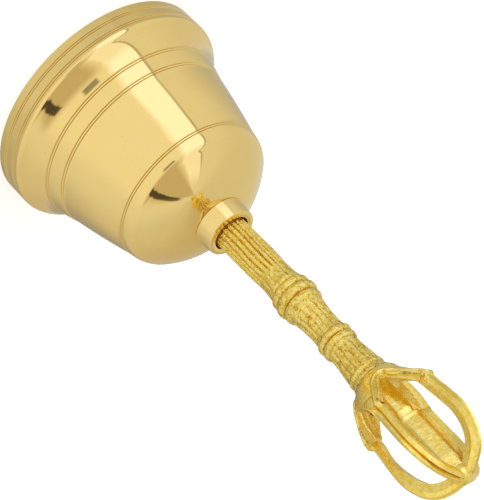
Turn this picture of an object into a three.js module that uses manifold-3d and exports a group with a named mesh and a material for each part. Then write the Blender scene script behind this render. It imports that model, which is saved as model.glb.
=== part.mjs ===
// A brass puja hand bell with a half-vajra handle. Millimetres, +Z up.
// The origin is the centre of the mouth, on the plane that the rim stands on, and +Z is the bell's axis.
// A turned shell carries a turned socket collar. A cast handle stands in the socket: a reeded stem with a beaded
// knop and a double ring, and above it a cup, four prongs that close on a finial, and a square centre spike.
// One bolt goes up through the crown into the stem and clamps them all. A U-shaped staple turns on that bolt
// under the crown, and the clapper swings on the staple's pin.
import * as THREE from "three";
import { mergeVertices } from "three/addons/utils/BufferGeometryUtils.js";
import Module from "manifold-3d";

const wasm = await Module();
wasm.setup();

// ---- Bell shell: radii, and the heights of its stretches from the mouth up ----
const LIP_RADIUS = 40;
const LIP_HEIGHT = 8.5;
const LIP_WALL = 3;
const LIP_EDGE = 0.6;
const FLARE = 5.45;
const FLARE_HEIGHT = 10;
const BAND_TAPER = 1.55;
const BAND_HEIGHT = 5.9;
const BARREL_TAPER = 5.25;
const BARREL_HEIGHT = 24.3;
const BARREL_BULGE = 0.4;
const ROLL_INSET = 2;
const ROLL_HEIGHT = 5.3;
const DOME_HEIGHT = 10;
const WALL = 2.4;
const CROWN_THICKNESS = 3.5;
const GROOVE_WIDTH = 1;
const GROOVE_DEPTH = 0.3;
const LIP_GROOVES = [3.5, 7.5];

// ---- Socket collar ----
const COLLAR_FOOT_RADIUS = 9.5;
const COLLAR_TAPER = 0.7;
const COLLAR_HEIGHT = 6.4;
const COLLAR_FLOOR = 2;
const COLLAR_EDGE = 0.5;
const SOCKET_CLEARANCE = 0.65;

// ---- Handle stem, from its foot up ----
const REED_RADIUS = 5.85;
const REED_DEPTH = 0.45;
const REEDS = 24;
const REED_LENGTH = 26;
const STEM_RADIUS = 5.55;
const LOWER_NECK = 6.6;
const KNOP_BEADS = [
  { height: 2.4, bulge: 1.1 },
  { height: 4.4, bulge: 2 },
  { height: 3.6, bulge: 1.4 },
];
const MIDDLE_STEM = 13;
const RING_BEADS = [
  { height: 2.8, bulge: 0.6 },
  { height: 2.6, bulge: 0.5 },
];
const UPPER_STEM = 15.4;
const STEM_TOP_RADIUS = 7.2;
const STEM_FLARE = 0.45;
const BEAD_FULLNESS = 1.3;
const HANDLE_LEAN = 0.024;

// ---- Vajra cage ----
const PRONGS = 4;
const CAGE_TURN = (19 * Math.PI) / 180;
const CUP_HEIGHT = 7.2;
const LOBE_RADIUS = 12.9;
const CUP_WALL = 4.4;
const CUP_FLOOR = 4.8;
const SADDLE_RADIUS = 5.2;
const SADDLE_DROP = 2.6;
const CAGE_RADIUS = 16.8;
const PRONG_DEPTH = 4.4;
const PRONG_WIDTH = 4.6;
const ROOT_WIDTH = 9;
const ROOT_HEIGHT = 8.5;
const SPUR = 0.9;
const CAGE_HEIGHT = 39.4;
const BELLY_SHARE = 0.52;
const CROWN_OF_CAGE = 5;
const FINIAL_HALF = 4.2;
const FINIAL_POINT = 0.8;
const SPIKE_RADIUS = 4.4;
const SPIKE_TIP_RADIUS = 4;
const SPIKE_STEP = 13.2;
const SPIKE_POST_RADIUS = 3.6;

// ---- Bolt, washer and staple under the crown ----
const BOLT_RADIUS = 3;
const BOLT_IN_STEM = 20;
const BOLT_HEAD_RADIUS = 4.5;
const BOLT_HEAD_HEIGHT = 3;
const BOLT_SLOT = 1.2;
const THREAD_CLEARANCE = 0.06;
const HOLE_CLEARANCE = 0.2;
const SEAT_GAP = 0.05;
const WASHER_RADIUS = 8;
const WASHER_THICKNESS = 1;
const STAPLE_THICKNESS = 1.2;
const STAPLE_WIDTH = 7;
const STAPLE_SIDE_GAP = 0.4;
const TURN_GAP = 0.1;
const PIN_RADIUS = 1.25;
const PIN_CLEARANCE = 0.06;
const PIN_HEAD_RADIUS = 2;
const PIN_HEAD = 0.8;
const PIN_DROP = 3.5;
const STAPLE_BELOW_PIN = 3;

// ---- Clapper ----
const BARREL_EYE_RADIUS = 2.4;
const EYE_SIDE_GAP = 0.2;
const ROD_RADIUS = 1.5;
const ROD_LENGTH = 49.6;
const BALL_RADIUS = 9;
const BALL_DROP = 38;
const BALL_HOLE_CLEARANCE = 0.06;
const NUT_ACROSS_FLATS = 6;
const NUT_HEIGHT = 2.2;

// ---- Smoothness ----
const SHELL_SEGMENTS = 48;
const HANDLE_SEGMENTS = 32;
const SMALL_SEGMENTS = 24;
const CURVE_STEPS = 4;
const PRONG_STEPS = 9;
const MERGE_DISTANCE = 1e-4;
const OVERLAP = 1;

// ---- Places that follow from the sizes ----
const bell = stations();
const collarFloorTop = bell.crown.z + SEAT_GAP + COLLAR_FLOOR;
const stemFoot = collarFloorTop + SEAT_GAP;
const socketRadius = REED_RADIUS + SOCKET_CLEARANCE;
const boltHole = BOLT_RADIUS + HOLE_CLEARANCE;
const knopFoot = stemFoot + REED_LENGTH + LOWER_NECK;
const middleFoot = knopFoot + beadsHeight(KNOP_BEADS);
const ringFoot = middleFoot + MIDDLE_STEM;
const upperFoot = ringFoot + beadsHeight(RING_BEADS);
const stemTop = upperFoot + UPPER_STEM;
const cupFoot = stemTop + SEAT_GAP;
const lobeTop = cupFoot + CUP_HEIGHT;
const prongFoot = lobeTop + SEAT_GAP;
const cageTop = prongFoot + CAGE_HEIGHT;
const crownSeat = bell.crown.z - CROWN_THICKNESS;
const washerTop = crownSeat - SEAT_GAP;
const webTop = washerTop - WASHER_THICKNESS - TURN_GAP;
const boltHeadTop = webTop - STAPLE_THICKNESS - TURN_GAP;
const pinHeight = boltHeadTop - BOLT_HEAD_HEIGHT - PIN_DROP;
const stapleInside = BOLT_HEAD_RADIUS + STAPLE_SIDE_GAP;
const stapleOutside = stapleInside + STAPLE_THICKNESS;
const ballHeight = pinHeight - BALL_DROP;

// Radius and height of each station of the shell's outside.
function stations() {
  const lip = { r: LIP_RADIUS, z: LIP_HEIGHT };
  const waist = { r: lip.r - FLARE, z: lip.z + FLARE_HEIGHT };
  const band = { r: waist.r - BAND_TAPER, z: waist.z + BAND_HEIGHT };
  const shoulder = { r: band.r - BARREL_TAPER, z: band.z + BARREL_HEIGHT };
  const crease = { r: shoulder.r - ROLL_INSET, z: shoulder.z + ROLL_HEIGHT };
  const crown = { r: COLLAR_FOOT_RADIUS, z: crease.z + DOME_HEIGHT };
  return { lip, waist, band, shoulder, crease, crown };
}

function beadsHeight(beads) {
  return beads.reduce((sum, bead) => sum + bead.height, 0);
}

// ---- Making and joining solids ----
function toSolid(geometry) {
  const bare = geometry.clone();
  bare.deleteAttribute("normal");
  bare.deleteAttribute("uv");
  const merged = mergeVertices(bare, MERGE_DISTANCE);
  const triVerts = new Uint32Array(merged.index.array);
  const vertProperties = merged.attributes.position.array;
  return new wasm.Manifold(new wasm.Mesh({ numProp: 3, vertProperties, triVerts }));
}

function toGeometry(solid) {
  const mesh = solid.getMesh();
  const geometry = new THREE.BufferGeometry();
  geometry.setAttribute("position", new THREE.BufferAttribute(mesh.vertProperties, 3));
  geometry.setIndex(new THREE.BufferAttribute(mesh.triVerts, 1));
  return geometry;
}

// A profile of radius and height, turned about the Z axis. It runs up the outside and down the inside.
function turned(profile, segments = SMALL_SEGMENTS) {
  const geometry = new THREE.LatheGeometry(profile.getPoints(CURVE_STEPS), segments);
  return geometry.rotateX(Math.PI / 2);
}

// A ring or disc of straight walls between two heights.
function disc(radius, low, high, bore = 0, segments = SMALL_SEGMENTS) {
  const profile = new THREE.Path().moveTo(bore, low);
  profile.lineTo(radius, low).lineTo(radius, high).lineTo(bore, high);
  if (bore > 0) profile.lineTo(bore, low);
  return turned(profile, segments);
}

// A flat outline stood upright: its x stays x, its y becomes height, and its thickness is centred on y = 0.
function upright(outline, thickness, steps = CURVE_STEPS) {
  const options = { depth: thickness, bevelEnabled: false, curveSegments: steps };
  const geometry = new THREE.ExtrudeGeometry(outline, options);
  return geometry.translate(0, 0, -thickness / 2).rotateX(Math.PI / 2);
}

// A cast handle is never quite straight: above the foot of the knop this one leans a little towards +X.
function leaned(geometry) {
  const points = geometry.attributes.position;
  for (let i = 0; i < points.count; i++) {
    const above = Math.max(0, points.getZ(i) - knopFoot);
    points.setX(i, points.getX(i) + HANDLE_LEAN * above);
  }
  return geometry;
}

// A cylinder that lies along X, centred on x = 0.
function crossBar(radius, length, height, segments = SMALL_SEGMENTS) {
  const geometry = new THREE.CylinderGeometry(radius, radius, length, segments);
  return geometry.rotateZ(Math.PI / 2).translate(0, 0, height);
}

// ---- Profile strokes ----
// A straight stretch with V grooves turned in it at the given heights.
function grooved(profile, from, to, heights) {
  for (const z of heights) {
    const radiusAt = (height) => from.r + ((to.r - from.r) * (height - from.z)) / (to.z - from.z);
    profile.lineTo(radiusAt(z - GROOVE_WIDTH / 2), z - GROOVE_WIDTH / 2);
    profile.lineTo(radiusAt(z) - GROOVE_DEPTH, z);
    profile.lineTo(radiusAt(z + GROOVE_WIDTH / 2), z + GROOVE_WIDTH / 2);
  }
  return profile.lineTo(to.r, to.z);
}

// An arc centred on the axis, from one point to another, turning towards the second.
function domeArc(profile, from, to) {
  const centre = (from.r ** 2 - to.r ** 2 + from.z ** 2 - to.z ** 2) / (2 * (from.z - to.z));
  const radius = Math.hypot(from.r, from.z - centre);
  const start = Math.atan2(from.z - centre, from.r);
  const end = Math.atan2(to.z - centre, to.r);
  return profile.absarc(0, centre, radius, start, end, end < start);
}

// Round beads stacked one on another, each bulging from the same radius.
function beads(profile, radius, foot, stack) {
  let z = foot;
  for (const bead of stack) {
    profile.bezierCurveTo(
      radius + bead.bulge * BEAD_FULLNESS, z,
      radius + bead.bulge * BEAD_FULLNESS, z + bead.height,
      radius, z + bead.height,
    );
    z += bead.height;
  }
  return profile;
}

// ---- Bell shell and collar ----
function shellGeometry() {
  const { lip, waist, band, shoulder, crease, crown } = bell;
  const mouth = LIP_RADIUS - LIP_WALL;
  const half = GROOVE_WIDTH / 2;
  const round = Math.min(1.6, FLARE_HEIGHT / 4);
  const profile = new THREE.Path().moveTo(mouth + LIP_EDGE, 0);
  profile.lineTo(lip.r - LIP_EDGE, 0);
  profile.quadraticCurveTo(lip.r, 0, lip.r, LIP_EDGE);
  grooved(profile, { r: lip.r, z: LIP_EDGE }, lip, LIP_GROOVES);
  // The lip rounds over into a hollow flare that rises to the waist.
  profile.quadraticCurveTo(lip.r, lip.z + round, lip.r - FLARE * 0.12, lip.z + round * 1.15);
  profile.quadraticCurveTo(waist.r + FLARE * 0.15, lip.z + FLARE_HEIGHT * 0.6, waist.r, waist.z - half);
  // A band between two grooves, and a gently bulged barrel up to the shoulder groove.
  profile.lineTo(waist.r - GROOVE_DEPTH, waist.z).lineTo(waist.r, waist.z + half);
  profile.lineTo(band.r, band.z - half);
  profile.lineTo(band.r - GROOVE_DEPTH, band.z).lineTo(band.r, band.z + half);
  const middle = (band.z + shoulder.z) / 2;
  profile.quadraticCurveTo((band.r + shoulder.r) / 2 + BARREL_BULGE, middle, shoulder.r, shoulder.z - half);
  profile.lineTo(shoulder.r - GROOVE_DEPTH, shoulder.z).lineTo(shoulder.r, shoulder.z + half);
  // A rolled shoulder up to the crease, then the dome and the flat that the collar stands on.
  profile.quadraticCurveTo(shoulder.r, crease.z - ROLL_HEIGHT / 3, crease.r, crease.z);
  domeArc(profile, crease, crown);
  profile.lineTo(boltHole, crown.z).lineTo(boltHole, crownSeat);
  // The inside: a flat seat under the crown, an inner dome, and walls down to the mouth.
  const seat = { r: WASHER_RADIUS + 2 * STAPLE_THICKNESS, z: crownSeat };
  profile.lineTo(seat.r, seat.z);
  domeArc(profile, seat, { r: shoulder.r - WALL, z: shoulder.z });
  profile.lineTo(band.r - WALL, band.z).lineTo(waist.r - WALL, waist.z);
  profile.quadraticCurveTo(waist.r - WALL, lip.z + FLARE_HEIGHT * 0.5, mouth, lip.z);
  profile.lineTo(mouth, LIP_EDGE).lineTo(mouth + LIP_EDGE, 0);
  return turned(profile, SHELL_SEGMENTS);
}

function collarGeometry() {
  const foot = bell.crown.z + SEAT_GAP;
  const top = foot + COLLAR_HEIGHT;
  const rim = COLLAR_FOOT_RADIUS - COLLAR_TAPER;
  const edge = Math.min(COLLAR_EDGE, (rim - socketRadius) / 2);
  const profile = new THREE.Path().moveTo(boltHole, foot);
  profile.lineTo(COLLAR_FOOT_RADIUS, foot).lineTo(rim, top - edge);
  profile.quadraticCurveTo(rim, top, rim - edge, top);
  profile.lineTo(socketRadius, top).lineTo(socketRadius, collarFloorTop);
  profile.lineTo(boltHole, collarFloorTop).lineTo(boltHole, foot);
  return turned(profile, SHELL_SEGMENTS);
}

// ---- Handle stem ----
function reededFoot() {
  const samples = REEDS * 4;
  const points = [];
  for (let i = 0; i < samples; i++) {
    const angle = (2 * Math.PI * i) / samples;
    const radius = REED_RADIUS - (REED_DEPTH * (1 + Math.cos(REEDS * angle))) / 2;
    points.push(new THREE.Vector2(radius * Math.cos(angle), radius * Math.sin(angle)));
  }
  const options = { depth: REED_LENGTH, bevelEnabled: false };
  return new THREE.ExtrudeGeometry(new THREE.Shape(points), options).translate(0, 0, stemFoot);
}

function stemGeometry() {
  const reedTop = stemFoot + REED_LENGTH;
  const flared = STEM_RADIUS + STEM_FLARE;
  const profile = new THREE.Path().moveTo(0, reedTop - OVERLAP);
  profile.lineTo(STEM_RADIUS, reedTop - OVERLAP).lineTo(STEM_RADIUS, reedTop);
  profile.quadraticCurveTo(STEM_RADIUS, knopFoot - LOWER_NECK / 3, flared, knopFoot);
  beads(profile, flared, knopFoot, KNOP_BEADS);
  profile.quadraticCurveTo(STEM_RADIUS - STEM_FLARE, middleFoot + MIDDLE_STEM / 3, STEM_RADIUS, ringFoot);
  beads(profile, STEM_RADIUS, ringFoot, RING_BEADS);
  profile.quadraticCurveTo(STEM_RADIUS + STEM_FLARE / 2, stemTop - UPPER_STEM / 3, STEM_TOP_RADIUS, stemTop);
  profile.lineTo(0, stemTop);
  const bore = disc(BOLT_RADIUS + THREAD_CLEARANCE, stemFoot - OVERLAP, stemFoot + BOLT_IN_STEM + OVERLAP);
  const casting = toSolid(turned(profile, HANDLE_SEGMENTS)).add(toSolid(reededFoot()));
  return toGeometry(casting.subtract(toSolid(bore)));
}

// ---- Vajra cage ----
// A shallow cup with a scalloped rim: the lobes between the scallops carry the prongs.
function cupGeometry() {
  const floor = cupFoot + CUP_FLOOR;
  const profile = new THREE.Path().moveTo(0, cupFoot);
  profile.lineTo(STEM_TOP_RADIUS, cupFoot);
  profile.quadraticCurveTo(LOBE_RADIUS - CUP_WALL / 3, cupFoot + CUP_HEIGHT / 3, LOBE_RADIUS, lobeTop);
  profile.lineTo(LOBE_RADIUS - CUP_WALL, lobeTop);
  profile.lineTo(SPIKE_RADIUS + 1, floor).lineTo(0, floor);
  let cup = toSolid(turned(profile, HANDLE_SEGMENTS));
  const reach = LOBE_RADIUS - SPIKE_RADIUS;
  for (let i = 0; i < PRONGS; i++) {
    const scallop = new THREE.CylinderGeometry(SADDLE_RADIUS, SADDLE_RADIUS, reach, SMALL_SEGMENTS);
    scallop.rotateZ(Math.PI / 2).translate(SPIKE_RADIUS + 1 + reach / 2, 0, lobeTop + SADDLE_RADIUS - SADDLE_DROP);
    scallop.rotateZ(((i + 0.5) * 2 * Math.PI) / PRONGS);
    cup = cup.subtract(toSolid(scallop));
  }
  return toGeometry(cup);
}

// One prong, in the XZ plane: a broad root that rises from a lobe to a pointed spur, and an arched bar that closes
// on the finial. Its side outline and its front outline are extruded across each other and intersected.
function prongGeometry() {
  const belly = prongFoot + CAGE_HEIGHT * BELLY_SHARE;
  const centre = FINIAL_HALF - OVERLAP;
  const spurHeight = prongFoot + ROOT_HEIGHT * 0.7;
  const side = new THREE.Shape();
  side.moveTo(LOBE_RADIUS - CUP_WALL, prongFoot).lineTo(LOBE_RADIUS, prongFoot);
  side.quadraticCurveTo(CAGE_RADIUS - SPUR, prongFoot + ROOT_HEIGHT / 3, CAGE_RADIUS - SPUR / 2, spurHeight);
  side.lineTo(CAGE_RADIUS - SPUR, prongFoot + ROOT_HEIGHT);
  side.lineTo(CAGE_RADIUS, belly);
  side.absellipse(centre, belly, CAGE_RADIUS - centre, cageTop - belly, 0, Math.acos((FINIAL_HALF - centre) / (CAGE_RADIUS - centre)));
  const inner = CAGE_RADIUS - PRONG_DEPTH;
  const under = cageTop - CROWN_OF_CAGE;
  side.lineTo(FINIAL_HALF, under);
  side.absellipse(centre, belly, inner - centre, under - belly, Math.acos((FINIAL_HALF - centre) / (inner - centre)), 0, true);
  side.quadraticCurveTo(inner, prongFoot + ROOT_HEIGHT, LOBE_RADIUS - CUP_WALL, prongFoot);

  const front = new THREE.Shape();
  const rootTop = prongFoot + ROOT_HEIGHT;
  front.moveTo(-ROOT_WIDTH / 2, prongFoot).lineTo(ROOT_WIDTH / 2, prongFoot);
  front.quadraticCurveTo(ROOT_WIDTH / 2, rootTop - ROOT_HEIGHT / 4, PRONG_WIDTH / 2, rootTop);
  front.lineTo(PRONG_WIDTH / 2, cageTop + OVERLAP).lineTo(-PRONG_WIDTH / 2, cageTop + OVERLAP);
  front.lineTo(-PRONG_WIDTH / 2, rootTop);
  front.quadraticCurveTo(-ROOT_WIDTH / 2, rootTop - ROOT_HEIGHT / 4, -ROOT_WIDTH / 2, prongFoot);

  const across = upright(front, 4 * CAGE_RADIUS).rotateZ(Math.PI / 2);
  return toGeometry(toSolid(upright(side, ROOT_WIDTH + OVERLAP, PRONG_STEPS)).intersect(toSolid(across)));
}

// A four-sided bar with its edges towards the prongs: a post in the cup, a step, and a taper up to the finial.
function spikeGeometry() {
  const foot = cupFoot + CUP_FLOOR + SEAT_GAP;
  const step = foot + SPIKE_STEP;
  const top = cageTop - CROWN_OF_CAGE - SEAT_GAP;
  const profile = new THREE.Path().moveTo(0, foot);
  profile.lineTo(SPIKE_POST_RADIUS, foot).lineTo(SPIKE_POST_RADIUS, step);
  profile.lineTo(SPIKE_RADIUS, step).lineTo(SPIKE_TIP_RADIUS, top).lineTo(0, top);
  return turned(profile, PRONGS);
}

// The block where the prongs meet, with a low pyramid on top.
function finialGeometry() {
  const half = (FINIAL_HALF - SEAT_GAP) * Math.SQRT2;
  const top = cageTop + FINIAL_POINT;
  const profile = new THREE.Path().moveTo(0, cageTop - CROWN_OF_CAGE);
  profile.lineTo(half, cageTop - CROWN_OF_CAGE).lineTo(half, cageTop - CROWN_OF_CAGE / 4).lineTo(0, top);
  return turned(profile, PRONGS).rotateZ(Math.PI / PRONGS);
}

// ---- Bolt, washer and staple ----
function boltGeometry() {
  const headFoot = boltHeadTop - BOLT_HEAD_HEIGHT;
  const profile = new THREE.Path().moveTo(0, headFoot);
  profile.lineTo(BOLT_HEAD_RADIUS, headFoot).lineTo(BOLT_HEAD_RADIUS, boltHeadTop);
  profile.lineTo(BOLT_RADIUS, boltHeadTop).lineTo(BOLT_RADIUS, stemFoot + BOLT_IN_STEM);
  profile.lineTo(0, stemFoot + BOLT_IN_STEM);
  const slot = new THREE.BoxGeometry(3 * BOLT_HEAD_RADIUS, BOLT_SLOT, BOLT_SLOT * 2).translate(0, 0, headFoot);
  return toGeometry(toSolid(turned(profile)).subtract(toSolid(slot)));
}

function stapleGeometry() {
  const legFoot = pinHeight - STAPLE_BELOW_PIN;
  const outline = new THREE.Shape();
  outline.moveTo(-stapleOutside, legFoot).lineTo(-stapleInside, legFoot);
  outline.lineTo(-stapleInside, webTop - STAPLE_THICKNESS).lineTo(stapleInside, webTop - STAPLE_THICKNESS);
  outline.lineTo(stapleInside, legFoot).lineTo(stapleOutside, legFoot);
  outline.lineTo(stapleOutside, webTop).lineTo(-stapleOutside, webTop);
  const turningHole = disc(boltHole, webTop - 2 * STAPLE_THICKNESS, webTop + OVERLAP);
  const pinHoles = crossBar(PIN_RADIUS + PIN_CLEARANCE, 4 * stapleOutside, pinHeight);
  const strap = toSolid(upright(outline, STAPLE_WIDTH));
  return toGeometry(strap.subtract(toSolid(turningHole)).subtract(toSolid(pinHoles)));
}

function pinGeometry() {
  const face = stapleOutside + SEAT_GAP;
  const profile = new THREE.Path().moveTo(0, -face - PIN_HEAD);
  profile.lineTo(PIN_HEAD_RADIUS, -face - PIN_HEAD).lineTo(PIN_HEAD_RADIUS, -face);
  profile.lineTo(PIN_RADIUS, -face).lineTo(PIN_RADIUS, face).lineTo(PIN_HEAD_RADIUS, face);
  profile.lineTo(PIN_HEAD_RADIUS, face + PIN_HEAD).lineTo(0, face + PIN_HEAD);
  return turned(profile).rotateY(Math.PI / 2).translate(0, 0, pinHeight);
}

// ---- Clapper ----
function rodGeometry() {
  const barrel = toSolid(crossBar(BARREL_EYE_RADIUS, 2 * (stapleInside - EYE_SIDE_GAP), pinHeight));
  const rod = toSolid(disc(ROD_RADIUS, pinHeight - ROD_LENGTH, pinHeight));
  const pinHole = toSolid(crossBar(PIN_RADIUS + PIN_CLEARANCE, 4 * stapleInside, pinHeight));
  return toGeometry(barrel.add(rod).subtract(pinHole));
}

function ballGeometry() {
  const bore = ROD_RADIUS + BALL_HOLE_CLEARANCE;
  const mouth = Math.acos(bore / BALL_RADIUS);
  const profile = new THREE.Path();
  profile.absarc(0, ballHeight, BALL_RADIUS, -mouth, mouth, false);
  profile.lineTo(bore, ballHeight - BALL_RADIUS * Math.sin(mouth));
  return turned(profile, HANDLE_SEGMENTS);
}

function ballNutGeometry() {
  const bore = ROD_RADIUS + BALL_HOLE_CLEARANCE;
  const top = ballHeight - Math.sqrt(BALL_RADIUS ** 2 - bore ** 2) - SEAT_GAP;
  const corner = NUT_ACROSS_FLATS / Math.sqrt(3);
  const hexagon = new THREE.CylinderGeometry(corner, corner, NUT_HEIGHT, 6).rotateX(Math.PI / 2);
  hexagon.translate(0, 0, top - NUT_HEIGHT / 2);
  return toGeometry(toSolid(hexagon).subtract(toSolid(disc(bore, top - 2 * NUT_HEIGHT, top + OVERLAP))));
}

// ---- Materials and assembly ----
function metal(colour, roughness) {
  return new THREE.MeshStandardMaterial({ color: new THREE.Color(...colour), roughness, metalness: 1 });
}

const polishedBrass = metal([0.83, 0.66, 0.32], 0.08);
const castBrass = metal([0.86, 0.62, 0.16], 0.38);
const platedSteel = metal([0.62, 0.62, 0.6], 0.3);
const clapperBrass = metal([0.74, 0.56, 0.24], 0.25);

const pujaBell = new THREE.Group();

function place(name, geometry, material) {
  const mesh = new THREE.Mesh(geometry, material);
  mesh.name = name;
  pujaBell.add(mesh);
}

place("bell_shell", shellGeometry(), polishedBrass);
place("socket_collar", collarGeometry(), polishedBrass);
place("handle_stem", leaned(stemGeometry()), castBrass);
place("vajra_cup", leaned(cupGeometry().rotateZ(CAGE_TURN)), castBrass);
["right", "back", "left", "front"].forEach((side, i) => {
  const turn = CAGE_TURN + (i * 2 * Math.PI) / PRONGS;
  place(`prong_${side}`, leaned(prongGeometry().rotateZ(turn)), castBrass);
});
place("centre_spike", leaned(spikeGeometry().rotateZ(CAGE_TURN)), castBrass);
place("finial", leaned(finialGeometry().rotateZ(CAGE_TURN)), castBrass);
place("tie_bolt", boltGeometry(), platedSteel);
place("crown_washer", disc(WASHER_RADIUS, washerTop - WASHER_THICKNESS, washerTop, boltHole), platedSteel);
place("swivel_staple", stapleGeometry(), platedSteel);
place("staple_pin", pinGeometry(), platedSteel);
place("clapper_rod", rodGeometry(), platedSteel);
place("clapper_ball", ballGeometry(), clapperBrass);
place("ball_nut", ballNutGeometry(), platedSteel);

export default pujaBell;
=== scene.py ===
"""A brass puja bell: a polished turned bell on a rough cast handle that ends in a cage of four prongs.

Shapes are drawn in millimetres and scaled to metres when a piece is finished.
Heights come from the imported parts.
"""
import math

import bmesh
import bpy
from mathutils import Matrix, Vector, noise


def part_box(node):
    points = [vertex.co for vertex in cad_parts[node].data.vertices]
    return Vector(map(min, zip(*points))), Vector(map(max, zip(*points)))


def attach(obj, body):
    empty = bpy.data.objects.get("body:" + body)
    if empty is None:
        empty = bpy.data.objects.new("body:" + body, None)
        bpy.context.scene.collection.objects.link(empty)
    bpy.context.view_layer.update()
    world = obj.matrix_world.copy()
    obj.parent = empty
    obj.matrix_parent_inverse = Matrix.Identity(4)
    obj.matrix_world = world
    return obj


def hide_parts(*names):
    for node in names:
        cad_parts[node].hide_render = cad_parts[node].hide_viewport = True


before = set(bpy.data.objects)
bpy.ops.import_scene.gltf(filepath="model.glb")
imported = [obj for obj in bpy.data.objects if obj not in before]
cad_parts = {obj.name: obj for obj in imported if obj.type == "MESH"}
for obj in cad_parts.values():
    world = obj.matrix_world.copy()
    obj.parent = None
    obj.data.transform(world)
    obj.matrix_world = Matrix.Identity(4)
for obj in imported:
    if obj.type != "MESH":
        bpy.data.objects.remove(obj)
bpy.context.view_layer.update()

MM = 0.001
SHARP_ANGLE = math.radians(38)
WELD = 0.0005
SPIN_STEPS = 192
HANDLE_STEPS = 240
BALL_STEPS = 96

# ---- Camera: above the front of the standing bell, rolled so that its handle points down to the right ----
CAMERA_ELEVATION = math.radians(29)
CAMERA_ROLL = math.radians(135.2)
CAMERA_DISTANCE = 1.4
CAMERA_TARGET = Vector((0.00145, 0, 0.0773))
CAMERA_LENS = 318
CAMERA_REACH = 20
SENSOR = 36

# ---- Bell and collar, in millimetres: pairs are (radius, height) ----
LIP_RADIUS = 40
LIP_HEIGHT = 8.5
LIP_WALL = 3
LIP_ROLL = 0.7
LIP_LINES = (3.5, 7.5)
WAIST = (34.55, 18.5)
BAND = (33, 24.4)
SHOULDER = (27.75, 48.7)
CREASE = (25.75, 54)
BARREL_BULGE = 0.4
WALL = 2.4
CROWN_WALL = 3.5
CEILING_RADIUS = 10.4
BOLT_HOLE = 3.2
LINE_WIDTH = 0.42
LINE_DEPTH = 0.3
LINE_SPACING = 0.8
COLLAR_TAPER = 0.7
COLLAR_SEAM = 0.15
COLLAR_BORE = 6.5
COLLAR_ROLL = 0.55
BORE_ROLL = 0.25

# ---- Handle stem, in millimetres ----
REED_RADIUS = 5.85
REED_DEPTH = 0.6
REEDS = 20
FLUTES = 14
FLUTE_DEPTH = 0.4
HANDLE_LEAN = 0.024
STEM_ROWS = 300
STEM_SKIN = 0.07
SKIN_SCALE = 2.1
STEM_WAIST_DROP = 6.6
KNOP_TO_TOP = 44.2
KNOP_HEIGHT = 10.4
MIDDLE_HEIGHT = 13
RING_HEIGHT = 5.4
# Beads of the knop and of the double ring: middle above its foot, half its height, and how far it stands out.
KNOP_BEADS = ((1.9, 1.45, 0.6), (5.2, 1.75, 1.15), (8.7, 1.6, 0.6))
RING_BEADS = ((1.3, 1.25, 0.75), (4.1, 1.25, 0.65))

# ---- Cup of the cage, in millimetres ----
CAGE_TURN = math.radians(19)
PRONGS = 4
QUARTER = 360 / PRONGS
CUP_STEPS = 480
CUP_OUTSIDE_ROWS = 40
CUP_RIM_ROWS = 8
CUP_INSIDE_ROWS = 12
CUP_FLOOR_ROWS = 6
CUP_FLOOR = 2.0
CUP_FILLET = 2.5
CUP_RIM_ROLL = 0.7
CUP_SHIFT = 1.2
CUP_SKIN = 0.07
# Degrees from a prong's middle over which the wall goes from its radius under a prong to that between two.
ROOT_EDGE = (4, 24)
# The cup's rim: degrees from a prong's middle, and height above the prong's foot.
CUP_RIM = (
    (0, 7.0), (9, 6.2), (16, 4.0), (23.5, 2.0), (31, 0), (38, -2.1), (45, -2.6),
)
# The line of the rib on the cup's outside, given in the same way.
CUP_RIB = (
    (0, 7.6), (5, 6.4), (8, 4.6), (13, 2.2), (17.5, 0),
    (23, -2.2), (30, -3.5), (37, -4.1), (45, -4.3),
)
# Across the rib, upwards: height of a ridge or groove, distance from the rib's line, and width.
RIB_SECTION = ((0.6, 0, 0.45), (-0.4, 0.95, 0.4), (0.25, 1.9, 0.45))
# The cup's wall: height above the prong's foot, outer radius under a prong and between two, and thickness.
CUP_WALL = (
    (-7.3, 7.0, 7.0, 2.2), (-6.3, 8.2, 7.8, 2.2), (-5, 9.3, 8.7, 2.2), (-3.6, 10.2, 9.5, 2.3),
    (-2, 11.2, 10.5, 2.4), (0, 12.4, 11.6, 2.6), (2.2, 13.6, 12.9, 3.0), (4.6, 15.0, 14.3, 3.8),
    (6.6, 15.8, 15.3, 4.4), (8, 15.8, 15.5, 4.4),
)

# ---- Prongs, spike and finial, in millimetres ----
PRONG_SUBSTEPS = 6
SIDE_SUBSTEPS = 4
PRONG_SKIN = 0.05
# Radius between which a prong goes from straight across to bent round the cup.
BENT_RADII = (8, 12)
# A prong's outer radius, height above its foot, width and depth, from its root past its spur to the finial.
PRONG_STATIONS = (
    (14.1, 3.0, 3.4, 2.2), (15.1, 4.6, 4.8, 3.4), (15.9, 6.1, 5.8, 4.5), (16.2, 6.8, 5.9, 4.9),
    (15.5, 7.5, 5.5, 4.4), (15.6, 10.4, 5.1, 4.3), (16.3, 15.8, 4.8, 4.4), (16.7, 21.4, 4.7, 4.5),
    (16.0, 26.8, 4.6, 4.6), (13.9, 32.2, 4.5, 4.8), (10.3, 36.2, 4.3, 5.0), (4.6, 38.9, 4.0, 4.6),
    (0.4, 39.4, 3.6, 4.0),
)
# A prong's section, in shares of its width and depth: flat back, canted sides, two ridges beside a channel.
PRONG_SECTION = (
    (-0.27, -1), (0.27, -1), (0.5, -0.42), (0.42, -0.12), (0.17, 0),
    (0, -0.19), (-0.17, 0), (-0.42, -0.12), (-0.5, -0.42),
)
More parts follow.
